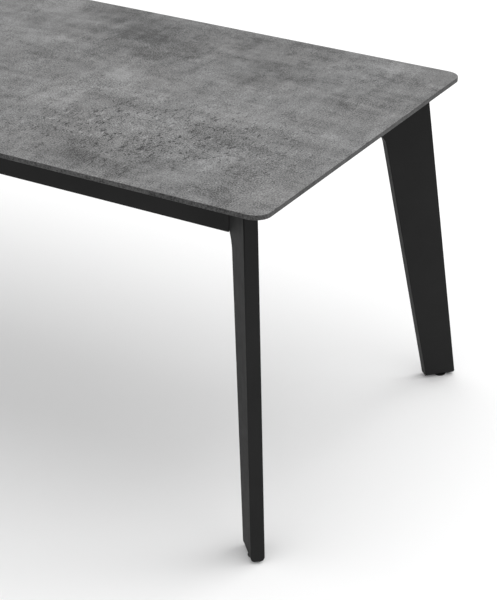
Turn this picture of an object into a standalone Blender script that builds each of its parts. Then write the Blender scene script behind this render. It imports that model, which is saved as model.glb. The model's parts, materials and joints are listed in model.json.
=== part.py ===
"""Extendable dining table: thin top on four diagonal blade legs, two spare leaves stored inside.

Frame: origin on the floor under the centre of the top, X along the table, Y across, Z up.
Metres throughout.  "right" is +X, "left" is -X, "front" is -Y and "back" is +Y.

The thin one-piece top is fixed to a black frame.  A carriage of two arms and a pull bar slides
out of each end.  Two spare leaves lie in a magazine between the rails, each sliding out through
the slot in one end, and each is then laid on the arms of its carriage.  Turn buttons under the
ends of the top swing out to hold a laid leaf flush.
"""
import math

import bmesh
import bpy
from mathutils import Matrix, Vector

# ---------------------------------------------------------------- driving dimensions
LENGTH = 1.800
WIDTH = 0.900
HEIGHT = 0.758
TOP_THICK = 0.010
TOP_CORNER_RADIUS = 0.035
TOP_EDGE_CHAMFER = 0.0008
GAP = 0.0003                    # between pieces that touch

# Rails of the frame
RAIL_INSET = 0.1355             # outer face of every rail, in from the edge of the top
RAIL_THICK = 0.022
RAIL_HEIGHT = 0.1088
END_RAIL_HEIGHT = 0.0345        # the end rails are low, the leaves pass over them

# Blade legs: each stands on a diagonal plane that meets the long edge of the top just short of
# its corner.  Distances "along" are measured from there, horizontally inwards.
LEG_SHORT_OF_CORNER = 0.0037
LEG_PLANE_ANGLE = math.radians(47.0)
LEG_THICK = 0.0295
LEG_FLOOR_GAP = 0.0025
LEG_OUTER_AT_FLOOR = -0.0278
LEG_OUTER_AT_TOP = 0.0850
LEG_INNER_AT_FLOOR = 0.0451
LEG_INNER_AT_TOP = 0.2040
LEG_HEAD_END = 0.2407
LEG_FLARE_RADIUS = 0.042
LEG_TOE_RADIUS = 0.007
LEG_HEEL_RADIUS = 0.003
LEG_EDGE_RADIUS = 0.0025

# Levelling feet
FOOT_ALONG = 0.006
FOOT_RADIUS = 0.0140
FOOT_STEM_RADIUS = 0.004
FOOT_STEM_TOP = 0.028
FOOT_BORE_RADIUS = 0.0048
FOOT_BORE_TOP = 0.031

# Corner fittings and leg bolts
FITTING_BOTTOM = 0.648
FITTING_HEIGHT = 0.098
FITTING_WEB = 0.012
FITTING_WING = 0.006
FITTING_WING_END = 0.640
FITTING_INNER_Y = 0.2590
LEG_BOLT_HEIGHTS = (0.662, 0.732)
LEG_BOLT_RADIUS = 0.004
LEG_BOLT_HEAD_RADIUS = 0.0065
LEG_BOLT_HEAD = 0.008
LEG_BOLT_REACH = 0.048
LEG_BOLT_BORE_RADIUS = 0.0044
BOLT_SOCKET_RADIUS = 0.0034
BOLT_SOCKET_DEPTH = 0.004

# Carriages: arms of inverted T section in lipped channels, joined by a pull bar
ARM_OFFSET = 0.225              # centre line of each arm, from the middle of the table
ARM_BELOW_TOP = 0.0005
ARM_HEIGHT = 0.030
ARM_FLANGE = 0.030
ARM_WEB = 0.018
ARM_FLANGE_HEIGHT = 0.010
ARM_REAR = 0.035
ARM_CAP_LENGTH = 0.012
ARM_CAP_EARS = 0.028
ARM_TRAVEL = 0.500
STOP_LENGTH = 0.012
STOP_WIDTH = 0.006
STOP_HEIGHT = 0.010
GUIDE_WALL = 0.002
GUIDE_PLAY = 0.0005
GUIDE_INNER_END = 0.020
GUIDE_OUTER_END = 0.738
PULL_BAR_HALF_WIDTH = 0.256
PULL_BAR_BOTTOM = 0.705
PULL_BAR_GRIP_HALF_WIDTH = 0.060
PULL_BAR_GRIP_DEPTH = 0.012

# Bearers across the frame and the batten under the middle of the top
BEARER_POSITIONS = (-0.580, -0.100, 0.100, 0.580)
BEARER_WIDTH = 0.040
BEARER_HEIGHT = 0.010
BATTEN_HALF_LENGTH = 0.735
BATTEN_WIDTH = 0.060

# Spare leaves, stored turned by a quarter turn in a magazine with two levels
LEAF_LONG = 0.900
LEAF_SHORT = 0.500
LEAF_THICK = 0.010
LEAF_STORED_END = 0.730
LEAF_PITCH = 0.014
LEAF_PLAY = 0.0005
MAGAZINE_HALF_LENGTH = 0.738
MAGAZINE_WALL = 0.002
MAGAZINE_WALL_Y = 0.2535
MAGAZINE_LEDGE_Y = 0.2430
MAGAZINE_LEDGE = 0.0025

# Turn buttons under the overhang of the top
BUTTON_PIVOT_X = 0.872
BUTTON_PIVOT_Y = 0.345
BUTTON_LENGTH = 0.052
BUTTON_RADIUS = 0.010
BUTTON_THICK = 0.006
BUTTON_BELOW_TOP = 0.0008
BUTTON_BORE_RADIUS = 0.0030
PIVOT_RADIUS = 0.0025
PIVOT_HEAD_RADIUS = 0.007
PIVOT_HEAD = 0.003
PIVOT_DEPTH_IN_TOP = 0.0055
PIVOT_BORE_DEPTH = 0.006

ROUND_STEPS = 24

# ---------------------------------------------------------------- worked out from them
HALF_LENGTH = LENGTH / 2.0
HALF_WIDTH = WIDTH / 2.0
LEG_START_X = HALF_LENGTH - LEG_SHORT_OF_CORNER
TOP_UNDERSIDE = HEIGHT - TOP_THICK
FRAME_TOP = TOP_UNDERSIDE - GAP
RAIL_BOTTOM = FRAME_TOP - RAIL_HEIGHT
RAIL_OUTER_Y = HALF_WIDTH - RAIL_INSET
RAIL_INNER_Y = RAIL_OUTER_Y - RAIL_THICK
RAIL_OUTER_X = HALF_LENGTH - RAIL_INSET
RAIL_INNER_X = RAIL_OUTER_X - RAIL_THICK
ARM_TOP = TOP_UNDERSIDE - ARM_BELOW_TOP
ARM_BOTTOM = ARM_TOP - ARM_HEIGHT
GUIDE_BOTTOM = ARM_BOTTOM - GUIDE_PLAY - GUIDE_WALL
LIP_TOP = ARM_BOTTOM + ARM_FLANGE_HEIGHT + GUIDE_PLAY + GUIDE_WALL
BEARER_TOP = GUIDE_BOTTOM - GAP
BEARER_BOTTOM = BEARER_TOP - BEARER_HEIGHT
MAGAZINE_TOP = BEARER_BOTTOM - GAP
LEAF_HEIGHTS = (MAGAZINE_TOP - MAGAZINE_LEDGE - 0.001 - LEAF_THICK,
                MAGAZINE_TOP - MAGAZINE_LEDGE - 0.001 - LEAF_THICK - LEAF_PITCH)
ENDS = (("right", 1), ("left", -1))
SIDES = (("front", -1), ("back", 1))
CORNERS = tuple((end + "_" + side, sx, sy) for end, sx in ENDS for side, sy in SIDES)


# ---------------------------------------------------------------- materials
def material(name, color, roughness, metallic=0.0):
    made = bpy.data.materials.new(name)
    made.use_nodes = True
    shader = made.node_tree.nodes["Principled BSDF"]
    shader.inputs["Base Color"].default_value = (*color, 1.0)
    shader.inputs["Roughness"].default_value = roughness
    shader.inputs["Metallic"].default_value = metallic
    return made


# ---------------------------------------------------------------- shape helpers
def node(name, mesh, place, look):
    """One named object; every node of the part is made here."""
    made = bpy.data.objects.new(name, mesh)
    made.matrix_world = place
    if not mesh.materials:
        mesh.materials.append(look)
    bpy.context.scene.collection.objects.link(made)
    return made


def hidden_cutter(name, mesh, place):
    made = bpy.data.objects.new(name, mesh)
    made.matrix_world = place
    made.hide_render = True
    made.display_type = "WIRE"
    bpy.context.scene.collection.objects.link(made)
    return made


def cut(target, cutter):
    hole = target.modifiers.new("cut " + cutter.name, "BOOLEAN")
    hole.operation = "DIFFERENCE"
    hole.object = cutter


def prism(name, outline, low, high):
    """Closed prism of an XY outline, between two heights."""
    mesh = bpy.data.meshes.new(name)
    shape = bmesh.new()
    base = shape.faces.new([shape.verts.new((x, y, low)) for x, y in outline])
    grown = bmesh.ops.extrude_face_region(shape, geom=[base])
    raised = [item for item in grown["geom"] if isinstance(item, bmesh.types.BMVert)]
    bmesh.ops.translate(shape, verts=raised, vec=(0.0, 0.0, high - low))
    bmesh.ops.recalc_face_normals(shape, faces=shape.faces)
    shape.to_mesh(mesh)
    shape.free()
    return mesh


def lathe(name, profile, steps=ROUND_STEPS):
    """Closed turned body about Z; the profile runs from the axis at the bottom to the axis on top."""
    mesh = bpy.data.meshes.new(name)
    shape = bmesh.new()
    rings = []
    for radius, height in profile:
        if radius == 0.0:
            rings.append([shape.verts.new((0.0, 0.0, height))])
            continue
        turns = [2.0 * math.pi * step / steps for step in range(steps)]
        rings.append([shape.verts.new((radius * math.cos(a), radius * math.sin(a), height))
                      for a in turns])
    for lower, upper in zip(rings, rings[1:]):
        for step in range(steps):
            after = (step + 1) % steps
            corners = [lower[step % len(lower)], lower[after % len(lower)],
                       upper[after % len(upper)], upper[step % len(upper)]]
            shape.faces.new(list(dict.fromkeys(corners)))
    bmesh.ops.recalc_face_normals(shape, faces=shape.faces)
    shape.to_mesh(mesh)
    shape.free()
    mesh.shade_smooth()
    mesh.set_sharp_from_angle(angle=math.radians(35.0))
    return mesh


def rounded(points, steps=6):
    """Outline through (x, y, radius) points, each corner rounded by its radius."""
    outline = []
    for index, (x, y, radius) in enumerate(points):
        corner = Vector((x, y))
        before = (Vector(points[index - 1][:2]) - corner).normalized()
        after = (Vector(points[(index + 1) % len(points)][:2]) - corner).normalized()
        if radius == 0.0:
            outline.append((x, y))
            continue
        half = before.angle(after) / 2.0
        centre = corner + (before + after).normalized() * radius / math.sin(half)
        start = corner + before * radius / math.tan(half) - centre
        end = corner + after * radius / math.tan(half) - centre
        sweep = start.angle_signed(end)
        for step in range(steps + 1):
            turned = Matrix.Rotation(-sweep * step / steps, 2) @ start
            outline.append(tuple(centre + turned))
    return outline


def along_x(start, end):
    """Place a prism drawn in YZ so that it runs along X between two stations."""
    turn = Matrix(((0.0, 0.0, 1.0), (1.0, 0.0, 0.0), (0.0, 1.0, 0.0))).to_4x4()
    return Matrix.Translation((min(start, end), 0.0, 0.0)) @ turn


def bar_along_x(name, outline, start, end, look):
    return node(name, prism(name, outline, 0.0, abs(end - start)), along_x(start, end), look)


def box(name, x_range, y_range, z_range, look):
    outline = [(x_range[0], y_range[0]), (x_range[1], y_range[0]),
               (x_range[1], y_range[1]), (x_range[0], y_range[1])]
    return node(name, prism(name, outline, *z_range), Matrix(), look)


def bevel(target, width, segments, angle=50.0):
    soft = target.modifiers.new("soft edges", "BEVEL")
    soft.width = width
    soft.segments = segments
    soft.limit_method = "ANGLE"
    soft.angle_limit = math.radians(angle)


# ---------------------------------------------------------------- geometry of a corner
def corner_point(sx, sy, along, aside=0.0):
    """Plan position from the distance inwards along the leg plane and sideways towards the end."""
    x = LEG_START_X - along * math.cos(LEG_PLANE_ANGLE) + aside * math.sin(LEG_PLANE_ANGLE)
    y = HALF_WIDTH - along * math.sin(LEG_PLANE_ANGLE) - aside * math.cos(LEG_PLANE_ANGLE)
    return sx * x, sy * y


def leg_frame(sx, sy):
    """Local X inwards along the leg plane, local Y up, local Z across the blade."""
    inward = Vector((-sx * math.cos(LEG_PLANE_ANGLE), -sy * math.sin(LEG_PLANE_ANGLE), 0.0))
    up = Vector((0.0, 0.0, 1.0))
    across = inward.cross(up)
    place = Matrix((inward, up, across)).transposed().to_4x4()
    place.translation = (sx * LEG_START_X, sy * HALF_WIDTH, 0.0)
    return place


def x_beside_leg(y, aside):
    """X where the line parallel to the leg plane, a distance aside, crosses a given |Y|."""
    along = (HALF_WIDTH - y - aside * math.cos(LEG_PLANE_ANGLE)) / math.sin(LEG_PLANE_ANGLE)
    return corner_point(1, 1, along, aside)[0]


def y_beside_leg(x, aside):
    along = (LEG_START_X - x + aside * math.sin(LEG_PLANE_ANGLE)) / math.cos(LEG_PLANE_ANGLE)
    return corner_point(1, 1, along, aside)[1]


def crossing(along, x=None, y=None):
    """Point of the line square to the leg plane at a distance along it, at a given X or Y."""
    cosine = math.cos(LEG_PLANE_ANGLE)
    sine = math.sin(LEG_PLANE_ANGLE)
    if y is not None:
        return LEG_START_X - (along - (HALF_WIDTH - y) * sine) / cosine, y
    return x, HALF_WIDTH - (along - (LEG_START_X - x) * cosine) / sine


def mirrored(outline, sx, sy):
    return [(sx * x, sy * y) for x, y in outline]


# ---------------------------------------------------------------- top and leaves
def board_outline(half_x, half_y, radii):
    """Rectangle with the corner radii given anticlockwise from (+x, +y)."""
    signs = ((1, 1), (-1, 1), (-1, -1), (1, -1))
    return rounded([(sx * half_x, sy * half_y, r) for (sx, sy), r in zip(signs, radii)], steps=8)


def make_top(look):
    outline = board_outline(HALF_LENGTH, HALF_WIDTH, [TOP_CORNER_RADIUS] * 4)
    top = node("tabletop", prism("tabletop", outline, TOP_UNDERSIDE, HEIGHT), Matrix(), look)
    bevel(top, TOP_EDGE_CHAMFER, 1)
    for name, sx, sy in CORNERS:
        drill = lathe("pivot drill", [(0.0, -0.002), (BUTTON_BORE_RADIUS, -0.002),
                                      (BUTTON_BORE_RADIUS, PIVOT_BORE_DEPTH),
                                      (0.0, PIVOT_BORE_DEPTH)], 16)
        place = Matrix.Translation((sx * BUTTON_PIVOT_X, sy * BUTTON_PIVOT_Y, TOP_UNDERSIDE))
        cut(top, hidden_cutter("pivot_drill_" + name, drill, place))


def make_leaf(name, sx, bottom, look):
    radii = [TOP_CORNER_RADIUS, TOP_CORNER_RADIUS, 0.0, 0.0]
    outline = board_outline(LEAF_LONG / 2.0, LEAF_SHORT / 2.0, radii)
    centre = sx * (LEAF_STORED_END - LEAF_LONG / 2.0)
    place = Matrix.Translation((centre, 0.0, bottom))
    leaf = node(name, prism(name, outline, 0.0, LEAF_THICK), place, look)
    bevel(leaf, TOP_EDGE_CHAMFER, 1)


# ---------------------------------------------------------------- legs
def leg_inner(height):
    share = height / TOP_UNDERSIDE
    return LEG_INNER_AT_FLOOR + share * (LEG_INNER_AT_TOP - LEG_INNER_AT_FLOOR)


def leg_outer(height):
    share = height / TOP_UNDERSIDE
    return LEG_OUTER_AT_FLOOR + share * (LEG_OUTER_AT_TOP - LEG_OUTER_AT_FLOOR)


def flare(steps=6):
    """Arc that leaves the straight inner edge and runs out to the underside of the rails."""
    lean = math.atan2(LEG_INNER_AT_TOP - LEG_INNER_AT_FLOOR, TOP_UNDERSIDE)
    end_along = (RAIL_INSET + LEG_THICK / 2.0 * math.cos(LEG_PLANE_ANGLE)) / math.sin(LEG_PLANE_ANGLE)
    end = Vector((end_along, RAIL_BOTTOM + 0.001))
    # The arc's start is looked for along the straight edge: the lower it is, the further the arc
    # swings out by the time it reaches the rail.
    low, high = RAIL_BOTTOM - 0.08, RAIL_BOTTOM
    for _ in range(40):
        start_height = (low + high) / 2.0
        rise = end.y - start_height
        turned = math.asin(min(1.0, rise / LEG_FLARE_RADIUS + math.sin(lean)))
        reach = leg_inner(start_height) + LEG_FLARE_RADIUS * (math.cos(lean) - math.cos(turned))
        if reach > end.x:
            low = start_height
        else:
            high = start_height
    centre = Vector((leg_inner(start_height) + LEG_FLARE_RADIUS * math.cos(lean),
                     start_height - LEG_FLARE_RADIUS * math.sin(lean)))
    angles = [lean + (turned - lean) * step / steps for step in range(steps + 1)]
    return [(centre.x - LEG_FLARE_RADIUS * math.cos(a), centre.y + LEG_FLARE_RADIUS * math.sin(a))
            for a in angles]


def make_leg(name, sx, sy, look):
    """Blade drawn in its own plane, tapering down to a foot beyond the corner of the top."""
    points = [(leg_outer(LEG_FLOOR_GAP), LEG_FLOOR_GAP, LEG_TOE_RADIUS),
              (leg_inner(LEG_FLOOR_GAP), LEG_FLOOR_GAP, LEG_HEEL_RADIUS)]
    points += [(along, height, 0.0) for along, height in flare()]
    points += [(LEG_HEAD_END, RAIL_BOTTOM + 0.001, 0.0),
               (LEG_HEAD_END, FRAME_TOP, 0.0),
               (leg_outer(FRAME_TOP), FRAME_TOP, 0.0)]
    blade = prism(name, rounded(points, steps=4), -LEG_THICK / 2.0, LEG_THICK / 2.0)
    leg = node(name, blade, leg_frame(sx, sy), look)
    bevel(leg, LEG_EDGE_RADIUS, 2, angle=60.0)

    drill = lathe("foot drill", [(0.0, -0.005), (FOOT_BORE_RADIUS, -0.005),
                                 (FOOT_BORE_RADIUS, FOOT_BORE_TOP), (0.0, FOOT_BORE_TOP)], 16)
    x, y = corner_point(sx, sy, FOOT_ALONG)
    cut(leg, hidden_cutter("foot_drill_" + name, drill, Matrix.Translation((x, y, 0.0))))
    for index, height in enumerate(LEG_BOLT_HEIGHTS):
        start = LEG_HEAD_END - LEG_BOLT_REACH
        drill = lathe("bolt drill", [(0.0, 0.0), (LEG_BOLT_BORE_RADIUS, 0.0),
                                     (LEG_BOLT_BORE_RADIUS, 0.08), (0.0, 0.08)], 16)
        place = bolt_frame(sx, sy, start, height)
        cut(leg, hidden_cutter("bolt_drill_%s_%d" % (name, index), drill, place))


def bolt_frame(sx, sy, along, height):
    """Local Z inwards along the leg plane, at a distance along it."""
    frame = leg_frame(sx, sy)
    return frame @ Matrix.Translation((along, height, 0.0)) @ Matrix.Rotation(math.pi / 2, 4, "Y")


def make_foot(name, sx, sy, look):
    """Glide disc and threaded stem in one turned piece; it turns to level the table."""
    profile = [(0.0, 0.0), (FOOT_RADIUS - 0.001, 0.0), (FOOT_RADIUS, 0.001),
               (FOOT_RADIUS, LEG_FLOOR_GAP - GAP), (FOOT_STEM_RADIUS, LEG_FLOOR_GAP - GAP),
               (FOOT_STEM_RADIUS, FOOT_STEM_TOP), (0.0, FOOT_STEM_TOP)]
    x, y = corner_point(sx, sy, FOOT_ALONG)
    node("foot_" + name, lathe("foot", profile), Matrix.Translation((x, y, 0.0)), look)


# ---------------------------------------------------------------- frame
def make_side_rail(name, sy, look):
    aside = -(LEG_THICK / 2.0 + GAP)
    outer = x_beside_leg(RAIL_OUTER_Y, aside)
    inner = x_beside_leg(RAIL_INNER_Y, aside)
    outline = [(-outer, RAIL_OUTER_Y), (outer, RAIL_OUTER_Y), (inner, RAIL_INNER_Y),
               (-inner, RAIL_INNER_Y)]
    mesh = prism("side_rail", mirrored(outline, 1, sy), RAIL_BOTTOM, FRAME_TOP)
    bevel(node("side_rail_" + name, mesh, Matrix(), look), 0.0010, 1, angle=30.0)


def make_end_rail(name, sx, look):
    aside = LEG_THICK / 2.0 + GAP
    outer = y_beside_leg(RAIL_OUTER_X, aside)
    inner = y_beside_leg(RAIL_INNER_X, aside)
    outline = [(RAIL_OUTER_X, -outer), (RAIL_OUTER_X, outer), (RAIL_INNER_X, inner),
               (RAIL_INNER_X, -inner)]
    mesh = prism("end_rail", mirrored(outline, sx, 1), RAIL_BOTTOM, RAIL_BOTTOM + END_RAIL_HEIGHT)
    bevel(node("end_rail_" + name, mesh, Matrix(), look), 0.0010, 1, angle=30.0)


def make_corner_fitting(name, sx, sy, look):
    """Extruded block between the rails; the leg bolts pass through its slanting web."""
    face = LEG_HEAD_END + GAP
    side_y = RAIL_INNER_Y - GAP
    end_x = RAIL_INNER_X - GAP
    wing_y = side_y - FITTING_WING
    outline = [(FITTING_WING_END, side_y), crossing(face, y=side_y), crossing(face, x=end_x),
               (end_x, FITTING_INNER_Y), crossing(face + FITTING_WEB, y=FITTING_INNER_Y),
               crossing(face + FITTING_WEB, y=wing_y), (FITTING_WING_END, wing_y)]
    top = FITTING_BOTTOM + FITTING_HEIGHT
    mesh = prism("corner_fitting", mirrored(outline, sx, sy), FITTING_BOTTOM, top)
    fitting = node("corner_fitting_" + name, mesh, Matrix(), look)
    for index, height in enumerate(LEG_BOLT_HEIGHTS):
        drill = lathe("fitting drill", [(0.0, 0.0), (LEG_BOLT_BORE_RADIUS, 0.0),
                                        (LEG_BOLT_BORE_RADIUS, 0.05), (0.0, 0.05)], 16)
        place = bolt_frame(sx, sy, LEG_HEAD_END - 0.01, height)
        cut(fitting, hidden_cutter("fitting_drill_%s_%d" % (name, index), drill, place))


def socket_screw(name, shank_radius, shank, head_radius, head):
    """Socket head cap screw: shank below the origin, head above it with a hexagonal socket."""
    profile = [(0.0, -shank), (shank_radius - 0.0006, -shank), (shank_radius, -shank + 0.0006),
               (shank_radius, 0.0), (head_radius, 0.0), (head_radius, head - 0.0006),
               (head_radius - 0.0006, head), (0.0, head)]
    screw = bpy.data.objects.new(name, lathe(name, profile))
    bpy.context.scene.collection.objects.link(screw)
    socket = lathe("socket", [(0.0, head - BOLT_SOCKET_DEPTH),
                              (BOLT_SOCKET_RADIUS, head - BOLT_SOCKET_DEPTH),
                              (BOLT_SOCKET_RADIUS, head + 0.002), (0.0, head + 0.002)], 6)
    cutter = hidden_cutter("socket", socket, Matrix())
    cut(screw, cutter)
    bpy.context.view_layer.update()
    seen = screw.evaluated_get(bpy.context.evaluated_depsgraph_get())
    mesh = bpy.data.meshes.new_from_object(seen)
    bpy.data.objects.remove(screw)
    bpy.data.objects.remove(cutter)
    return mesh


def make_bearer(index, x, look):
    half_y = RAIL_INNER_Y - GAP
    mesh = prism("bearer", [(-BEARER_WIDTH / 2, -half_y), (BEARER_WIDTH / 2, -half_y),
                            (BEARER_WIDTH / 2, half_y), (-BEARER_WIDTH / 2, half_y)],
                 BEARER_BOTTOM, BEARER_TOP)
    node("bearer_%d" % index, mesh, Matrix.Translation((x, 0.0, 0.0)), look)


def make_guide(name, sx, sy, look):
    """Lipped channel, open on top, that holds the flange of an arm down."""
    half_in = ARM_FLANGE / 2.0 + GUIDE_PLAY
    half_out = half_in + GUIDE_WALL
    half_slot = ARM_WEB / 2.0 + 2.0 * GUIDE_PLAY
    floor = GUIDE_BOTTOM + GUIDE_WALL
    lip = LIP_TOP - GUIDE_WALL
    half = [(half_out, GUIDE_BOTTOM), (half_out, LIP_TOP), (half_slot, LIP_TOP), (half_slot, lip),
            (half_in, lip), (half_in, floor)]
    outline = half + [(-y, z) for y, z in reversed(half)]
    outline = [(y + sy * ARM_OFFSET, z) for y, z in outline]
    start, end = sorted((sx * GUIDE_INNER_END, sx * GUIDE_OUTER_END))
    bar_along_x("guide_" + name, outline, start, end, look)


def make_magazine(name, sy, look):
    """Extrusion with three ledges: the lower leaf, the upper leaf and a cover over it."""
    wall_out = MAGAZINE_WALL_Y + MAGAZINE_WALL
    outline = [(wall_out, MAGAZINE_TOP), (MAGAZINE_LEDGE_Y, MAGAZINE_TOP)]
    ledge_top = MAGAZINE_TOP
    for bottom in LEAF_HEIGHTS:
        ledge_bottom = ledge_top - MAGAZINE_LEDGE
        outline += [(MAGAZINE_LEDGE_Y, ledge_bottom), (MAGAZINE_WALL_Y, ledge_bottom)]
        ledge_top = bottom - LEAF_PLAY
        outline += [(MAGAZINE_WALL_Y, ledge_top), (MAGAZINE_LEDGE_Y, ledge_top)]
    outline += [(MAGAZINE_LEDGE_Y, ledge_top - MAGAZINE_LEDGE),
                (wall_out, ledge_top - MAGAZINE_LEDGE)]
    outline = [(sy * y, z) for y, z in outline]
    bar_along_x("magazine_" + name, outline, -MAGAZINE_HALF_LENGTH, MAGAZINE_HALF_LENGTH, look)


# ---------------------------------------------------------------- carriages
def arm_outline(centre_y):
    half = [(ARM_FLANGE / 2, ARM_BOTTOM), (ARM_FLANGE / 2, ARM_BOTTOM + ARM_FLANGE_HEIGHT),
            (ARM_WEB / 2, ARM_BOTTOM + ARM_FLANGE_HEIGHT), (ARM_WEB / 2, ARM_TOP)]
    outline = half + [(-y, z) for y, z in reversed(half)]
    return [(centre_y + y, z) for y, z in outline]


def cap_outline(centre_y):
    """Section of an arm's rear cap: its ears run above the lips and meet the stop block."""
    shoulder = ARM_BOTTOM + ARM_FLANGE_HEIGHT
    ears = LIP_TOP + GUIDE_PLAY
    top = ears + STOP_HEIGHT
    half = [(ARM_FLANGE / 2, ARM_BOTTOM), (ARM_FLANGE / 2, shoulder), (ARM_WEB / 2, shoulder),
            (ARM_WEB / 2, ears), (ARM_CAP_EARS / 2, ears), (ARM_CAP_EARS / 2, top)]
    outline = half + [(-y, z) for y, z in reversed(half)]
    return [(centre_y + y, z) for y, z in outline]


def make_guide_stop(name, sx, sy, look):
    """Block on the outer lip of a guide that ends the travel of the arm."""
    inner = ARM_OFFSET + ARM_CAP_EARS / 2 + GAP - STOP_WIDTH / 2
    start = sx * (ARM_REAR + ARM_TRAVEL)
    low_x, high_x = sorted((start, start + sx * STOP_LENGTH))
    low_y, high_y = sorted((sy * inner, sy * (inner + STOP_WIDTH)))
    box("guide_stop_" + name, (low_x, high_x), (low_y, high_y),
        (LIP_TOP + GAP, LIP_TOP + GAP + STOP_HEIGHT), look)


def make_carriage(end, sx, arm_look, cap_look, bar_look):
    for side, sy in SIDES:
        outline = arm_outline(sy * ARM_OFFSET)
        front = RAIL_INNER_X - GAP
        start, stop = sorted((sx * ARM_REAR, sx * front))
        bar_along_x("arm_%s_%s" % (end, side), outline, start, stop, arm_look)
        cap_end = ARM_REAR - GAP
        start, stop = sorted((sx * (cap_end - ARM_CAP_LENGTH), sx * cap_end))
        bar_along_x("arm_cap_%s_%s" % (end, side), cap_outline(sy * ARM_OFFSET), start, stop,
                    cap_look)

    grip = PULL_BAR_GRIP_HALF_WIDTH
    slope = 1.4 * PULL_BAR_GRIP_DEPTH
    points = [(-PULL_BAR_HALF_WIDTH, PULL_BAR_BOTTOM, 0.004), (-grip - slope, PULL_BAR_BOTTOM, 0.008),
              (-grip, PULL_BAR_BOTTOM + PULL_BAR_GRIP_DEPTH, 0.008),
              (grip, PULL_BAR_BOTTOM + PULL_BAR_GRIP_DEPTH, 0.008),
              (grip + slope, PULL_BAR_BOTTOM, 0.008), (PULL_BAR_HALF_WIDTH, PULL_BAR_BOTTOM, 0.004),
              (PULL_BAR_HALF_WIDTH, ARM_TOP, 0.0), (-PULL_BAR_HALF_WIDTH, ARM_TOP, 0.0)]
    start, stop = sorted((sx * RAIL_INNER_X, sx * RAIL_OUTER_X))
    bar = bar_along_x("pull_bar_" + end, rounded(points, steps=3), start, stop, bar_look)
    bevel(bar, 0.0010, 1, angle=50.0)


# ---------------------------------------------------------------- turn buttons
def make_turn_button(name, sx, sy, button_look, pin_look):
    """Rounded tongue on a shouldered screw; at rest it points to the middle of the end."""
    pivot = Vector((sx * BUTTON_PIVOT_X, sy * BUTTON_PIVOT_Y, TOP_UNDERSIDE - BUTTON_BELOW_TOP))
    far = BUTTON_LENGTH + BUTTON_RADIUS * 0.7
    near = -BUTTON_RADIUS
    wide = BUTTON_RADIUS
    points = [(-wide, near, wide * 0.9), (wide, near, wide * 0.9),
              (wide * 0.7, far, wide * 0.6), (-wide * 0.7, far, wide * 0.6)]
    outline = mirrored(rounded(points, steps=6), 1, -sy)
    button = node("turn_button_" + name, prism("turn_button", outline, -BUTTON_THICK, 0.0),
                  Matrix.Translation(pivot), button_look)
    drill = lathe("button drill", [(0.0, -0.02), (BUTTON_BORE_RADIUS, -0.02),
                                   (BUTTON_BORE_RADIUS, 0.01), (0.0, 0.01)], 16)
    cut(button, hidden_cutter("button_drill_" + name, drill, Matrix.Translation(pivot)))

    under = -BUTTON_THICK - GAP
    reach = BUTTON_BELOW_TOP + PIVOT_DEPTH_IN_TOP
    profile = [(0.0, under - PIVOT_HEAD), (PIVOT_HEAD_RADIUS - 0.001, under - PIVOT_HEAD),
               (PIVOT_HEAD_RADIUS, under - PIVOT_HEAD + 0.001), (PIVOT_HEAD_RADIUS, under),
               (PIVOT_RADIUS, under), (PIVOT_RADIUS, reach), (0.0, reach)]
    node("button_screw_" + name, lathe("button_screw", profile, 16), Matrix.Translation(pivot),
         pin_look)


# ---------------------------------------------------------------- the whole table
def clear_scene():
    for item in list(bpy.data.objects):
        bpy.data.objects.remove(item)


def build():
    clear_scene()
    stone = material("stone laminate", (0.225, 0.222, 0.216), 0.50)
    lacquer = material("black lacquer", (0.022, 0.022, 0.023), 0.42)
    aluminium = material("aluminium", (0.60, 0.61, 0.62), 0.35, 1.0)
    steel = material("zinc plated steel", (0.50, 0.51, 0.53), 0.32, 1.0)
    coated = material("black coated steel", (0.035, 0.035, 0.037), 0.45, 0.6)
    nylon = material("black nylon", (0.025, 0.025, 0.025), 0.60)
    wood = material("beech", (0.42, 0.28, 0.16), 0.55)

    make_top(stone)
    for (end, sx), bottom in zip(ENDS, LEAF_HEIGHTS):
        make_leaf("leaf_" + end, sx, bottom, stone)

    leg_bolt = socket_screw("leg bolt", LEG_BOLT_RADIUS, FITTING_WEB + LEG_BOLT_REACH - 0.004,
                            LEG_BOLT_HEAD_RADIUS, LEG_BOLT_HEAD)
    for name, sx, sy in CORNERS:
        make_leg("leg_" + name, sx, sy, lacquer)
        make_foot(name, sx, sy, nylon)
        make_corner_fitting(name, sx, sy, aluminium)
        for index, height in enumerate(LEG_BOLT_HEIGHTS):
            seat = LEG_HEAD_END + 2.0 * GAP + FITTING_WEB
            node("leg_bolt_%s_%d" % (name, index + 1), leg_bolt,
                 bolt_frame(sx, sy, seat, height), steel)
        make_guide(name, sx, sy, aluminium)
        make_guide_stop(name, sx, sy, nylon)
        make_turn_button(name, sx, sy, coated, steel)

    for side, sy in SIDES:
        make_side_rail(side, sy, lacquer)
        make_magazine(side, sy, aluminium)
    for end, sx in ENDS:
        make_end_rail(end, sx, lacquer)
        make_carriage(end, sx, coated, nylon, lacquer)
    for index, x in enumerate(BEARER_POSITIONS):
        make_bearer(index + 1, x, coated)
    box("centre_batten", (-BATTEN_HALF_LENGTH, BATTEN_HALF_LENGTH),
        (-BATTEN_WIDTH / 2.0, BATTEN_WIDTH / 2.0), (BEARER_TOP + GAP, FRAME_TOP), wood)


build()
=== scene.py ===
"""Looks of the extendable dining table: stone-look laminate top, black lacquered blade legs,
pull-out carriages, stored leaves, and the fixings under the top.  Metres, Z up, as the frame."""

import json
import math

import bmesh
import bpy
from mathutils import Matrix, Vector


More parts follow.
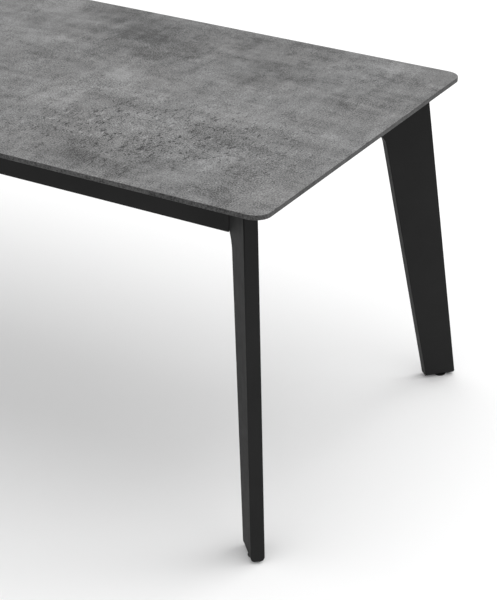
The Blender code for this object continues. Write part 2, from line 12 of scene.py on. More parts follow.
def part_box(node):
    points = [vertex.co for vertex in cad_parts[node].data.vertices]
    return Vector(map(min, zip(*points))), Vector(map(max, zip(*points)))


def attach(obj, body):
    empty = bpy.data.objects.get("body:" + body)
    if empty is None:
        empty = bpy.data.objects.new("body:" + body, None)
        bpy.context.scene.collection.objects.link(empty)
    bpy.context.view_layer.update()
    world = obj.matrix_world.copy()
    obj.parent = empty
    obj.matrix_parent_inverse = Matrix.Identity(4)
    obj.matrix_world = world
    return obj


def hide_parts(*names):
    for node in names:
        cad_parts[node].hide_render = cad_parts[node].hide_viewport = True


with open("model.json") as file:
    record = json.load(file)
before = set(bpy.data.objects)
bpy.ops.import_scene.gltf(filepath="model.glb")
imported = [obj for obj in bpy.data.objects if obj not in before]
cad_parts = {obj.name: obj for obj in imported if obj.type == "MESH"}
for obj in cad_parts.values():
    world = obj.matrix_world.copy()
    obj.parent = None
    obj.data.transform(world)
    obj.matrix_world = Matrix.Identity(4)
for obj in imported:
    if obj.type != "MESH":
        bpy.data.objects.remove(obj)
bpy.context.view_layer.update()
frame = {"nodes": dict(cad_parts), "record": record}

# ---------------------------------------------------------------- sizes read from the frame
TOP_LOW, TOP_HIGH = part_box("tabletop")
HALF_LENGTH = TOP_HIGH.x
HALF_WIDTH = TOP_HIGH.y
HEIGHT = TOP_HIGH.z
UNDERSIDE = TOP_LOW.z
RAIL_LOW, RAIL_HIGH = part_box("side_rail_back")
RAIL_BOTTOM = RAIL_LOW.z
FRAME_TOP = RAIL_HIGH.z
RAIL_OUTER_Y = RAIL_HIGH.y
RAIL_INNER_Y = RAIL_LOW.y
END_LOW, END_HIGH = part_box("end_rail_right")
RAIL_OUTER_X = END_HIGH.x
RAIL_INNER_X = END_LOW.x
BAR_LOW, BAR_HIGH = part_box("pull_bar_right")
ARM_LOW, ARM_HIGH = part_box("arm_right_back")
BEARER_LOW, BEARER_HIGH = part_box("bearer_1")
BATTEN_LOW, BATTEN_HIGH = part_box("centre_batten")
RACK_OUTER_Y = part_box("magazine_back")[1].y
FITTING_LOW, FITTING_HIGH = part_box("corner_fitting_right_back")
BUTTON_LOW, BUTTON_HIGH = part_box("turn_button_right_back")

# ---------------------------------------------------------------- sizes the design states
CORNER_RADIUS = 0.035
EDGE_ARRIS = 0.0008
UNDER_CHAMFER = 0.0008
LEG_START_X = HALF_LENGTH - 0.0037  # where the plane of a leg meets the long edge of the top
LEG_ANGLE = math.radians(47.0)
LEG_THICK = 0.0295
LEG_BOTTOM = 0.0025                 # gap under a leg, filled by its glide
LEG_OUTER = (-0.0278, 0.0850)       # distance inwards along that plane, at the floor and the top
LEG_INNER = (0.0451, 0.2040)
LEG_HEAD_END = 0.2407
LEG_FLARE_RADIUS = 0.042
LEG_FOOT_RADIUS = 0.012             # along the two long bottom edges
LEG_TOE_RADIUS = 0.007              # across the blade, at the outer end of its foot
LEG_HEEL_RADIUS = 0.003             # and at the inner end
LEG_EDGE_RADIUS = 0.0025            # everywhere else
FOOT_ALONG = 0.006
FOOT_RADIUS = 0.0137
FOOT_STEM = 0.004
FOOT_STEM_TOP = 0.028
FITTING_WEB = 0.012
FITTING_WING = 0.006
FITTING_INNER_Y = 0.2590
FITTING_SCREW_X = (0.650, 0.668)
FITTING_SCREW_Z = (0.666, 0.728)
TOP_BRACKET_X = (-0.34, 0.0, 0.34)
BATTEN_SCREW_X = (-0.68, -0.34, 0.0, 0.34, 0.68)
RAIL_EDGE_RADIUS = 0.0013
GRIP_HALF_WIDTH = 0.060
GRIP_DEPTH = 0.012
ARM_OFFSET = 0.225
ARM_FLANGE = (0.030, 0.010)         # width and height of the flange of an arm's T section
ARM_WEB = 0.018
PLATE_HALF_WIDTH = 0.021            # of the flange plate that joins an arm to its pull bar
PLATE_RADIUS = 0.003
PLATE_SCREW_ASIDE = 0.0155
PLATE_SCREW_DROP = 0.0083
FELT_SPAN = (0.12, 0.70)            # where the felt strip starts and ends along an arm
BUTTON_PIVOT = (0.872, 0.345)
BUTTON_LENGTH = 0.052
BUTTON_RADIUS = 0.010
BRACKET_THICK = 0.002
TOUCH = 0.0003
DECOR_LEVEL = 0.136                 # mean reflectance of the decor
SHADED_EDGE_LEVEL = 0.040                  # and of the board's cut edge: the same decor, painted darker as shade on its sideways faces

# ---------------------------------------------------------------- studio
FLOOR_LEVEL = 0.90                  # reflectance of the floor
WORLD_STRENGTH = 0.93
KEY_POWER = 190.0
OVERHEAD_POWER = 50.0
CAMERA_PLACE = (2.5004, -3.3213, 2.2631)
CAMERA_DOWN = 27.017                # degrees below level
CAMERA_TURN = 31.371                # degrees about Z, from looking along +Y
CAMERA_LENS = 116.43
CAMERA_SHIFT = 0.0916               # sideways, because the view is off the lens axis

ENDS = (("right", 1), ("left", -1))
SIDES = (("front", -1), ("back", 1))
CORNERS = tuple((end + "_" + side, sx, sy) for end, sx in ENDS for side, sy in SIDES)


# ---------------------------------------------------------------- node helpers
class Graph:
    """A material's nodes, written as function calls."""

    def __init__(self, name):
        self.material = bpy.data.materials.new(name)
        self.material.use_nodes = True
        self.tree = self.material.node_tree
        self.shader = self.tree.nodes["Principled BSDF"]
        self.place = self.add("ShaderNodeTexCoord").outputs["Object"]

    def add(self, kind, inputs=(), **settings):
        made = self.tree.nodes.new(kind)
        for key, value in settings.items():
            setattr(made, key, value)
        for key, value in dict(inputs).items():
            self.feed(made.inputs[key], value)
        return made

    def feed(self, socket, value):
        if isinstance(value, bpy.types.NodeSocket):
            self.tree.links.new(value, socket)
        elif socket.type == "RGBA" and len(value) == 3:
            socket.default_value = (*value, 1.0)
        else:
            socket.default_value = value

    def set(self, **values):
        """Principled inputs, with underscores for the spaces in their names."""
        for key, value in values.items():
            self.feed(self.shader.inputs[key.replace("_", " ")], value)

    def mapped(self, scale=(1, 1, 1), turn=0.0, shift=(0, 0, 0)):
        inputs = {"Vector": self.place, "Scale": scale, "Rotation": (0, 0, turn), "Location": shift}
        return self.add("ShaderNodeMapping", inputs).outputs["Vector"]

    def noise(self, scale, detail=4.0, rough=0.5, warp=0.0, at=None):
        inputs = {"Vector": at or self.place, "Scale": scale, "Detail": detail,
                  "Roughness": rough, "Distortion": warp}
        return self.add("ShaderNodeTexNoise", inputs).outputs["Fac"]

    def cells(self, scale, at):
        inputs = {"Vector": at, "Scale": scale}
        return self.add("ShaderNodeTexVoronoi", inputs).outputs["Distance"]

    def math(self, operation, first, second=0.5, third=0.5):
        inputs = {0: first, 1: second, 2: third}
        return self.add("ShaderNodeMath", inputs, operation=operation).outputs[0]

    def span(self, value, low, high, out_low=0.0, out_high=1.0):
        inputs = {"Value": value, "From Min": low, "From Max": high,
                  "To Min": out_low, "To Max": out_high}
        return self.add("ShaderNodeMapRange", inputs, clamp=True).outputs["Result"]

    def ramp(self, value, stops):
        made = self.add("ShaderNodeValToRGB", {"Fac": value})
        ramp = made.color_ramp
        while len(ramp.elements) < len(stops):
            ramp.elements.new(0.5)
        for element, (position, color) in zip(ramp.elements, stops):
            element.position = position
            element.color = (*color, 1.0)
        return made.outputs["Color"]

    def blend(self, share, first, second, mode="MIX"):
        made = self.add("ShaderNodeMix", data_type="RGBA", blend_type=mode)
        for index, value in ((0, share), (6, first), (7, second)):
            self.feed(made.inputs[index], value)
        return made.outputs[2]

    def bump(self, height, strength, distance):
        inputs = {"Height": height, "Strength": strength, "Distance": distance}
        return self.add("ShaderNodeBump", inputs).outputs["Normal"]


def grey(value, warm=0.0):
    return (value * (1.0 + warm), value, value * (1.0 - warm))


# ---------------------------------------------------------------- materials
# Soft marks in the decor, placed one by one: x, y, half length, half width, turn, strength.
DECOR_MARKS = (
    (0.20, 0.29, 0.12, 0.22, 0.15, -0.28), (0.52, 0.20, 0.13, 0.055, 0.10, -0.31),
    (0.02, 0.40, 0.17, 0.07, -0.1, -0.26), (0.35, -0.08, 0.14, 0.03, 0.0, -0.29),
    (0.21, -0.21, 0.08, 0.045, 0.3, -0.22), (0.45, -0.36, 0.15, 0.07, 0.0, -0.20),
    (0.74, 0.41, 0.15, 0.06, 0.0, 0.29), (-0.02, 0.16, 0.08, 0.05, 0.2, 0.31),
    (0.22, -0.11, 0.05, 0.09, -0.2, 0.34), (0.68, -0.27, 0.045, 0.12, -0.25, 0.36),
    (0.79, -0.03, 0.11, 0.06, 0.1, 0.24), (0.33, 0.14, 0.11, 0.05, 0.3, 0.19),
    (0.45, 0.33, 0.85, 0.21, 0.0, -0.18), (0.76, 0.17, 0.12, 0.035, 0.0, -0.19),
    (-0.45, -0.10, 0.16, 0.07, 0.2, -0.26), (-0.62, 0.22, 0.08, 0.16, 0.3, 0.22))


def stone_laminate(name, mean_level):
    """Concrete decor: clouds, trowel streaks, clusters of dark pits, hairlines and fine grain."""
    g = Graph(name)

    def around(value, share):
        return g.math("MULTIPLY", g.math("SUBTRACT", value, 0.5), share)

    def total(*values):
        result = values[0]
        for value in values[1:]:
            result = g.math("ADD", result, value)
        return result

    wander = g.add("ShaderNodeTexNoise", {"Vector": g.place, "Scale": 6.0, "Detail": 6.0,
                                          "Roughness": 0.62}).outputs["Color"]
    offset = g.add("ShaderNodeVectorMath", {0: wander, 1: (0.5, 0.5, 0.5)}, operation="SUBTRACT")
    offset = g.add("ShaderNodeVectorMath", {0: offset.outputs[0], "Scale": 0.20}, operation="SCALE")
    ragged = g.add("ShaderNodeVectorMath", {0: g.place, 1: offset.outputs[0]}, operation="ADD")

    def spot(x, y, long, wide, turn, strength):
        inputs = {"Vector": ragged.outputs[0], "Location": (x, y, 0), "Rotation": (0, 0, turn),
                  "Scale": (long, wide, 900.0)}
        local = g.add("ShaderNodeMapping", inputs, vector_type="TEXTURE").outputs["Vector"]
        away = g.add("ShaderNodeVectorMath", {0: local}, operation="LENGTH").outputs["Value"]
        return g.span(away, 1.20, 0.25, 0.0, strength)

    marks = total(*[spot(*mark) for mark in DECOR_MARKS])
    clouds = around(g.noise(3.4, 6.0, 0.60, 0.4), 1.05)
    patches = around(g.noise(11.0, 5.0, 0.62, 0.6), 1.30)
    along = around(g.noise(9.0, 5.0, 0.62, 0.4, g.mapped((0.6, 3.0, 1.0))), 1.15)
    across = around(g.noise(9.0, 5.0, 0.62, 0.4, g.mapped((3.4, 0.7, 1.0), shift=(3, 1, 0))), 1.05)
    slanted = g.mapped((1.0, 0.5, 1.0), turn=0.75)
    steep = g.mapped((1.0, 0.42, 1.0), turn=1.35, shift=(2.0, 5.0, 0.0))
    crowd = g.span(g.noise(5.0, 4.0, 0.6, 0.4, g.mapped(shift=(7.0, 2.0, 0.0))), 0.50, 0.66)
    crowd = g.math("MAXIMUM", g.math("MULTIPLY", crowd, 0.40),
                   spot(0.48, -0.20, 0.36, 0.24, 0.2, 1.0))
    rugged = g.span(g.noise(7.0, 4.0, 0.6, 0.4, g.mapped(shift=(1.0, 9.0, 0.0))), 0.36, 0.66, 0.3)
    rugged = g.math("MAXIMUM", rugged, crowd)
    blotch = around(g.noise(44.0, 4.0, 0.65, 0.6), 1.35)
    mottle = around(g.noise(130.0, 3.0, 0.65, 0.4), 1.35)
    grain = g.noise(310.0, 2.0, 0.65)
    rough_part = g.math("MULTIPLY", total(blotch, mottle), rugged)
    calm = spot(0.40, 0.34, 0.95, 0.24, 0.0, 1.0)
    grain_share = g.math("ADD", g.math("MULTIPLY", rugged, 0.7), g.math("MULTIPLY", calm, -0.35))
    grain_share = g.math("MULTIPLY", g.math("ADD", grain_share, 0.62), 4.1)
    fine = g.math("MULTIPLY", g.math("SUBTRACT", grain, 0.5), grain_share)
    value = total(marks, clouds, patches, along, across, rough_part, fine)

    torn = g.noise(112.0, 2.0, 0.55, 0.8, slanted)
    pits = g.math("MULTIPLY", g.span(torn, 0.620, 0.650), crowd)
    nicks = g.math("MULTIPLY", g.span(g.noise(120.0, 2.0, 0.55, 0.6, steep), 0.63, 0.66),
                   g.math("ADD", g.math("MULTIPLY", crowd, 0.8), 0.12))
    holes = g.math("MULTIPLY", g.span(g.cells(60.0, slanted), 0.15, 0.09), crowd)
    pits = g.math("MAXIMUM", pits, g.math("MAXIMUM", nicks, holes))
    chips = g.math("MULTIPLY", g.span(g.noise(88.0, 2.0, 0.55, 0.4, steep), 0.36, 0.31),
                   g.math("ADD", g.math("MULTIPLY", crowd, 0.7), 0.2))

    scratches = None
    for turn, seed in ((0.35, 0.0), (1.9, 5.0), (-0.8, 9.0), (-0.35, 13.0)):
        streak = g.noise(22.0, 1.0, 0.4, 0.5, g.mapped((0.12, 1.9, 1.0), turn, (seed, 0, 0)))
        line = g.span(g.math("ABSOLUTE", g.math("SUBTRACT", streak, 0.5)), 0.007, 0.0)
        gate = g.span(g.noise(12.0, 1.0, 0.5, 0.0, g.mapped(shift=(seed, 4.0, 0))), 0.60, 0.66)
        line = g.math("MULTIPLY", line, gate)
        scratches = line if scratches is None else g.math("MAXIMUM", scratches, line)

    value = total(value, g.math("MULTIPLY", pits, -0.85), g.math("MULTIPLY", chips, 0.65),
                  g.math("MULTIPLY", scratches, -0.5))
    level = g.math("MULTIPLY", g.math("MAXIMUM", g.math("ADD", value, 1.0), 0.12), mean_level)
    shade = g.add("ShaderNodeCombineColor", {0: level, 1: level, 2: level}).outputs[0]
    tint = g.ramp(g.noise(5.0, 3.0), [(0.35, (1.0, 0.995, 0.990)), (0.65, (0.992, 0.998, 1.0))])
    base = g.blend(1.0, shade, tint, "MULTIPLY")

    rough = g.math("ADD", g.span(g.noise(18.0, 5.0, 0.6), 0.3, 0.7, 0.46, 0.58),
                   g.math("MULTIPLY", pits, 0.2))
    relief = total(g.math("MULTIPLY", grain, 0.3), g.math("MULTIPLY", chips, 0.25),
                   g.math("MULTIPLY", pits, -1.0), g.math("MULTIPLY", scratches, -0.5))
    g.set(Base_Color=base, Roughness=rough, Specular_IOR_Level=0.35,
          Normal=g.bump(relief, 0.45, 0.0008))
    return g.material


def black_lacquer():
    """Satin black lacquer over wood: faint orange peel, and grain just telegraphing through."""
    g = Graph("black lacquer")
    drift = g.noise(6.0, 3.0, 0.5)
    peel = g.noise(520.0, 2.0, 0.5)
    pores = g.noise(60.0, 4.0, 0.6, 0.4, g.mapped((1.0, 1.0, 0.06)))
    color = g.ramp(drift, [(0.35, grey(0.0140)), (0.65, grey(0.0165))])
    dust = g.span(g.noise(900.0, 0.0), 0.70, 0.80)
    color = g.blend(g.math("MULTIPLY", dust, 0.10), color, grey(0.06))
    rough = g.span(g.noise(35.0, 4.0, 0.6), 0.3, 0.7, 0.55, 0.62)
    relief = g.math("MULTIPLY_ADD", peel, 0.3, g.math("MULTIPLY", pores, 0.7))
    g.set(Base_Color=color, Roughness=rough, Specular_IOR_Level=0.10,
          Normal=g.bump(relief, 0.10, 0.0004))
    return g.material


def black_steel():
    """Fine textured powder coat."""
    g = Graph("black powder coat")
    texture = g.noise(1500.0, 2.0, 0.6)
    color = g.ramp(g.noise(20.0, 3.0), [(0.3, grey(0.014)), (0.7, grey(0.020))])
    rough = g.span(texture, 0.3, 0.7, 0.46, 0.60)
    g.set(Base_Color=color, Roughness=rough, Metallic=0.0, Specular_IOR_Level=0.45,
          Normal=g.bump(texture, 0.25, 0.0002))
    return g.material


def aluminium():
    """Natural anodised extrusion, with die lines along its length."""
    g = Graph("anodised aluminium")
    lines = g.noise(900.0, 3.0, 0.7, 0.0, g.mapped((0.004, 1.0, 1.0)))
    color = g.ramp(lines, [(0.3, grey(0.50, -0.01)), (0.7, grey(0.64, -0.01))])
    rough = g.span(g.noise(14.0, 3.0), 0.3, 0.7, 0.30, 0.42)
    g.set(Base_Color=color, Metallic=1.0, Roughness=rough, Normal=g.bump(lines, 0.12, 0.0002))
    return g.material


def cast_aluminium():
    """Sand-blasted corner fittings."""
    g = Graph("blasted aluminium")
    blasted = g.noise(1100.0, 3.0, 0.7)
    color = g.ramp(g.noise(30.0, 4.0), [(0.3, grey(0.40)), (0.7, grey(0.52))])
    g.set(Base_Color=color, Metallic=1.0, Roughness=g.span(blasted, 0.3, 0.7, 0.42, 0.56),
          Normal=g.bump(blasted, 0.2, 0.0002))
    return g.material


def zinc_steel():
    """Zinc plated screws, with a faint yellow and blue passivation."""
    g = Graph("zinc plated steel")
    sheen = g.noise(160.0, 3.0, 0.6, 0.5)
    color = g.ramp(sheen, [(0.30, (0.40, 0.42, 0.46)), (0.50, (0.55, 0.55, 0.55)),
                           (0.70, (0.56, 0.52, 0.42))])
    g.set(Base_Color=color, Metallic=1.0, Roughness=g.span(sheen, 0.3, 0.7, 0.22, 0.38),
          Normal=g.bump(g.noise(1400.0, 2.0), 0.08, 0.0001))
    return g.material


def black_nylon():
    """Moulded nylon with a spark-eroded grain, scuffed slightly paler."""
    g = Graph("black nylon")
    spark = g.noise(1300.0, 2.0, 0.6)
    scuff = g.span(g.noise(70.0, 5.0, 0.7), 0.56, 0.72)
    color = g.blend(g.math("MULTIPLY", scuff, 0.35), grey(0.012), grey(0.045))
    g.set(Base_Color=color, Roughness=g.span(spark, 0.3, 0.7, 0.52, 0.66),
          Specular_IOR_Level=0.40, Normal=g.bump(spark, 0.25, 0.0002))
    return g.material


def beech():
    """Planed beech along X: growth lines, short dark flecks, slight drift of colour."""
    g = Graph("beech")
    growth = g.noise(26.0, 4.0, 0.6, 0.8, g.mapped((0.05, 1.0, 1.0)))
    flecks = g.span(g.noise(240.0, 2.0, 0.5, 0.0, g.mapped((0.10, 1.0, 1.0))), 0.62, 0.70)
    color = g.ramp(growth, [(0.35, (0.40, 0.24, 0.13)), (0.60, (0.52, 0.34, 0.20))])
    color = g.blend(g.math("MULTIPLY", flecks, 0.5), color, (0.24, 0.12, 0.06))
    g.set(Base_Color=color, Roughness=g.span(growth, 0.3, 0.7, 0.50, 0.62),
          Normal=g.bump(growth, 0.15, 0.0004))
    return g.material


def felt():
    """Pressed grey wool felt: matted fibres, slightly flecked."""
    g = Graph("grey felt")
    fibres = g.noise(900.0, 5.0, 0.75, 1.5, g.mapped((0.35, 1.0, 1.0), turn=0.4))
    crossing_fibres = g.noise(900.0, 5.0, 0.75, 1.5, g.mapped((1.0, 0.35, 1.0), turn=-0.3))
    matted = g.math("MAXIMUM", fibres, crossing_fibres)
    color = g.ramp(matted, [(0.40, grey(0.05)), (0.55, grey(0.10)), (0.70, grey(0.19))])
    g.set(Base_Color=color, Roughness=g.span(matted, 0.4, 0.7, 0.85, 0.98),
          Sheen_Weight=g.span(matted, 0.4, 0.7, 0.2, 0.5), Normal=g.bump(matted, 0.6, 0.0004))
    return g.material


# ---------------------------------------------------------------- mesh helpers
def finish_mesh(shape, name, smooth_angle=35.0):
    bmesh.ops.recalc_face_normals(shape, faces=shape.faces)
    mesh = bpy.data.meshes.new(name)
    shape.to_mesh(mesh)
    shape.free()
    mesh.shade_smooth()
    mesh.set_sharp_from_angle(angle=math.radians(smooth_angle))
    return mesh


def prism(name, outline, low, high):
    shape = bmesh.new()
    base = shape.faces.new([shape.verts.new((x, y, low)) for x, y in outline])
    grown = bmesh.ops.extrude_face_region(shape, geom=[base])
    raised = [item for item in grown["geom"] if isinstance(item, bmesh.types.BMVert)]
    bmesh.ops.translate(shape, verts=raised, vec=(0.0, 0.0, high - low))
    return finish_mesh(shape, name)


def lathe(name, profile, steps=64):
    """Closed turned body about Z, from the axis at the bottom to the axis at the top."""
    shape = bmesh.new()
    rings = []
    for radius, height in profile:
        if radius == 0.0:
            rings.append([shape.verts.new((0.0, 0.0, height))])
            continue
        turns = [2.0 * math.pi * step / steps for step in range(steps)]
        rings.append([shape.verts.new((radius * math.cos(a), radius * math.sin(a), height))
                      for a in turns])
    for lower, upper in zip(rings, rings[1:]):
        for step in range(steps):
            after = (step + 1) % steps
            corners = [lower[step % len(lower)], lower[after % len(lower)],
                       upper[after % len(upper)], upper[step % len(upper)]]
            shape.faces.new(list(dict.fromkeys(corners)))
    return finish_mesh(shape, name)


def rounded(points, steps=8):
    """Outline through (x, y, radius) points, each corner rounded by its radius."""
    outline = []
    for index, (x, y, radius) in enumerate(points):
        corner = Vector((x, y))
        before = (Vector(points[index - 1][:2]) - corner).normalized()
        after = (Vector(points[(index + 1) % len(points)][:2]) - corner).normalized()
        if radius == 0.0:
            outline.append((x, y))
            continue
        half = before.angle(after) / 2.0
        centre = corner + (before + after).normalized() * radius / math.sin(half)
        start = corner + before * radius / math.tan(half) - centre
        end = corner + after * radius / math.tan(half) - centre
        sweep = start.angle_signed(end)
        for step in range(steps + 1):
            turned = Matrix.Rotation(-sweep * step / steps, 2) @ start
            outline.append(tuple(centre + turned))
    return outline


def piece(name, mesh, look, body, place=None, stands_for=()):
    """A new object with its material, riding on a body and standing for CAD nodes."""
    made = bpy.data.objects.new(name, mesh)
    bpy.context.scene.collection.objects.link(made)
    made.matrix_world = place or Matrix()
    if not mesh.materials:
        mesh.materials.append(look)
    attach(made, body)
    if stands_for:
        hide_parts(*stands_for)
    return made


def bevel(made, width, segments=3, angle=40.0):
    soft = made.modifiers.new("soft edges", "BEVEL")
    soft.width = width
    soft.segments = segments
    soft.limit_method = "ANGLE"
    soft.angle_limit = math.radians(angle)
    soft.harden_normals = True


def joined(name, mesh, places):
    """One mesh with a copy of another at each place."""
    shape = bmesh.new()
    for place in places:
        copy = mesh.copy()
        copy.transform(place)
        shape.from_mesh(copy)
        bpy.data.meshes.remove(copy)
    made = bpy.data.meshes.new(name)
    shape.to_mesh(made)
    shape.free()
    return made


def facing(point, direction):
    """Place at a point with local Z along a direction."""
    place = Vector(direction).to_track_quat("Z", "Y").to_matrix().to_4x4()
    place.translation = point
    return place


def screw_head(name, radius, height, drive, steps=36):
    """Low domed head standing on Z = 0, with a hexagonal recess."""
    sixth = math.pi / 3.0

    def ring(reach, level, hexagonal=False):
        points = []
        for step in range(steps):
            turn = 2.0 * math.pi * step / steps
            flat = math.cos(sixth / 2.0) / math.cos(turn % sixth - sixth / 2.0)
            out = reach * (flat if hexagonal else 1.0)
            points.append((out * math.cos(turn), out * math.sin(turn), level * height))
        return points

    levels = [ring(radius * 0.98, 0.0), ring(radius, 0.15), ring(radius * 0.95, 0.55),
              ring(radius * 0.78, 0.88), ring(drive * 1.30, 1.0), ring(drive, 0.97, True),
              ring(drive * 0.96, 0.35, True)]
    shape = bmesh.new()
    rings = [[shape.verts.new(point) for point in points] for points in levels]
    for lower, upper in zip(rings, rings[1:]):
        for index in range(steps):
            after = (index + 1) % steps
            shape.faces.new((lower[index], lower[after], upper[after], upper[index]))
    shape.faces.new(list(reversed(rings[0])))
    shape.faces.new(rings[-1])
    return finish_mesh(shape, name, 40.0)


def bar_frame():
    """Local X along the table's Y, local Y up, local Z along the table's X."""
    return Matrix(((0, 0, 1), (1, 0, 0), (0, 1, 0))).to_4x4()


def angle_bracket(name, reach, rise, width):
    """Bent steel strip: one leg along local X, the other along local Y."""
    thick = BRACKET_THICK
    outline = rounded([(0.0, 0.0, 0.0028), (reach, 0.0, 0.0003), (reach, thick, 0.0003),
                       (thick, thick, 0.0010), (thick, rise, 0.0003), (0.0, rise, 0.0003)], 5)
    return prism(name, outline, -width / 2.0, width / 2.0)


# ---------------------------------------------------------------- top and leaves
def board_mesh(name, half_x, half_y, low, high, radii, steps=20):
    """Flat board whose edge is one band, with a fine arris above and a small chamfer below."""
    signs = ((1, 1), (-1, 1), (-1, -1), (1, -1))

    def level(inset, height):
        points = [(sx * (half_x - inset), sy * (half_y - inset), max(radius - inset, 0.0004))
                  for (sx, sy), radius in zip(signs, radii)]
        return [(x, y, height) for x, y in rounded(points, steps)]

    shape = bmesh.new()
    levels = [level(UNDER_CHAMFER, low), level(0.0, low + UNDER_CHAMFER)]
    for step in range(4):
        turn = math.pi / 2.0 * step / 3.0
        levels.append(level(EDGE_ARRIS * (1.0 - math.cos(turn)),
                            high - EDGE_ARRIS + EDGE_ARRIS * math.sin(turn)))
    rings = [[shape.verts.new(point) for point in points] for points in levels]
    for lower, upper in zip(rings, rings[1:]):
        for index in range(len(lower)):
            after = (index + 1) % len(lower)
            shape.faces.new((lower[index], lower[after], upper[after], upper[index]))
    # The edge faces take the second material, the decor painted darker as shade.
    for face in shape.faces:
        face.material_index = 1
    shape.faces.new(list(reversed(rings[0])))
    shape.faces.new(rings[-1])
    return finish_mesh(shape, name, 30.0)


def make_boards(look, shaded_edge_look):
    top = board_mesh("top_board", HALF_LENGTH, HALF_WIDTH, UNDERSIDE, HEIGHT, [CORNER_RADIUS] * 4)
    top.materials.append(look)
    # The second material, on the edge faces, is the decor painted darker as shade.
    top.materials.append(shaded_edge_look)
    piece("top_board", top, look, "frame", stands_for=["tabletop"])
    for end, _ in ENDS:
        low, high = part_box("leaf_" + end)
        half = (high - low) / 2.0
        radii = [CORNER_RADIUS, CORNER_RADIUS, 0.002, 0.002]
        mesh = board_mesh("spare_leaf", half.x, half.y, -half.z, half.z, radii)
        mesh.materials.append(look)
        mesh.materials.append(shaded_edge_look)
        place = Matrix.Translation((low + high) / 2.0)
        piece("spare_leaf_" + end, mesh, look, "leaf_" + end, place,
              ["leaf_" + end])


# ---------------------------------------------------------------- legs and rails
def corner_point(sx, sy, along, aside=0.0):
    x = LEG_START_X - along * math.cos(LEG_ANGLE) + aside * math.sin(LEG_ANGLE)
    y = HALF_WIDTH - along * math.sin(LEG_ANGLE) - aside * math.cos(LEG_ANGLE)
    return sx * x, sy * y


def leg_frame(sx, sy):
    """Local X inwards along the leg's plane, local Y up, local Z across the blade."""
    inward = Vector((-sx * math.cos(LEG_ANGLE), -sy * math.sin(LEG_ANGLE), 0.0))
    up = Vector((0.0, 0.0, 1.0))
    place = Matrix((inward, up, inward.cross(up))).transposed().to_4x4()
    place.translation = (sx * LEG_START_X, sy * HALF_WIDTH, 0.0)
    return place


def leg_edge(ends, height):
    return ends[0] + (ends[1] - ends[0]) * height / UNDERSIDE


def flare(steps=14):
    """Arc from the straight inner edge of a leg out to the underside of the rails."""
    lean = math.atan2(LEG_INNER[1] - LEG_INNER[0], UNDERSIDE)
    inset = HALF_WIDTH - RAIL_OUTER_Y
    end_along = (inset + LEG_THICK / 2.0 * math.cos(LEG_ANGLE)) / math.sin(LEG_ANGLE)
    end = Vector((end_along, RAIL_BOTTOM + 0.001))
    low, high = RAIL_BOTTOM - 0.08, RAIL_BOTTOM
    for _ in range(40):
        start = (low + high) / 2.0
        turned = math.asin(min(1.0, (end.y - start) / LEG_FLARE_RADIUS + math.sin(lean)))
        reach = leg_edge(LEG_INNER, start)
        reach += LEG_FLARE_RADIUS * (math.cos(lean) - math.cos(turned))
        if reach > end.x:
            low = start
        else:
            high = start
    centre = Vector((leg_edge(LEG_INNER, start) + LEG_FLARE_RADIUS * math.cos(lean),
                     start - LEG_FLARE_RADIUS * math.sin(lean)))
    angles = [lean + (turned - lean) * step / steps for step in range(steps + 1)]
    return [(centre.x - LEG_FLARE_RADIUS * math.cos(a), centre.y + LEG_FLARE_RADIUS * math.sin(a))
            for a in angles]


def make_legs(look):
    """Blades with soft edges: a bevel weight of 1 stands for the radius along the foot."""
    points = [(leg_edge(LEG_OUTER, LEG_BOTTOM), LEG_BOTTOM),
              (leg_edge(LEG_INNER, LEG_BOTTOM), LEG_BOTTOM)]
    points += flare()
    points += [(LEG_HEAD_END, RAIL_BOTTOM + 0.001), (LEG_HEAD_END, FRAME_TOP),
               (leg_edge(LEG_OUTER, FRAME_TOP), FRAME_TOP)]
    mesh = prism("leg_blade", points, -LEG_THICK / 2.0, LEG_THICK / 2.0)
    softness = mesh.attributes.new("bevel_weight_edge", "FLOAT", "EDGE")
    for edge in mesh.edges:
        first, second = (mesh.vertices[index].co for index in edge.vertices)
        at_foot = max(first.y, second.y) < LEG_BOTTOM + 0.0001
        on_rim = abs(first.z - second.z) < 0.0001
        if at_foot and on_rim:
            softness.data[edge.index].value = 1.0
        elif at_foot:
            radius = LEG_HEEL_RADIUS if first.x > 0.0 else LEG_TOE_RADIUS
            softness.data[edge.index].value = radius / LEG_FOOT_RADIUS
        elif on_rim:
            softness.data[edge.index].value = LEG_EDGE_RADIUS / LEG_FOOT_RADIUS
    for name, sx, sy in CORNERS:
        blade = piece("leg_blade_" + name, mesh, look, "frame",
                      leg_frame(sx, sy), ["leg_" + name])
        bevel(blade, LEG_FOOT_RADIUS, 8)
        blade.modifiers["soft edges"].limit_method = "WEIGHT"
        blade.modifiers["soft edges"].use_clamp_overlap = False


def x_beside_leg(y, aside):
    along = (HALF_WIDTH - y - aside * math.cos(LEG_ANGLE)) / math.sin(LEG_ANGLE)
    return corner_point(1, 1, along, aside)[0]


def y_beside_leg(x, aside):
    along = (LEG_START_X - x + aside * math.sin(LEG_ANGLE)) / math.cos(LEG_ANGLE)
    return corner_point(1, 1, along, aside)[1]


def crossing(along, x=None, y=None):
    """Point of the line square to the leg plane at a distance along it, at a given X or Y."""
    if y is not None:
        return (LEG_START_X - (along - (HALF_WIDTH - y) * math.sin(LEG_ANGLE))
                / math.cos(LEG_ANGLE), y)
    return (x, HALF_WIDTH - (along - (LEG_START_X - x) * math.cos(LEG_ANGLE))
            / math.sin(LEG_ANGLE))


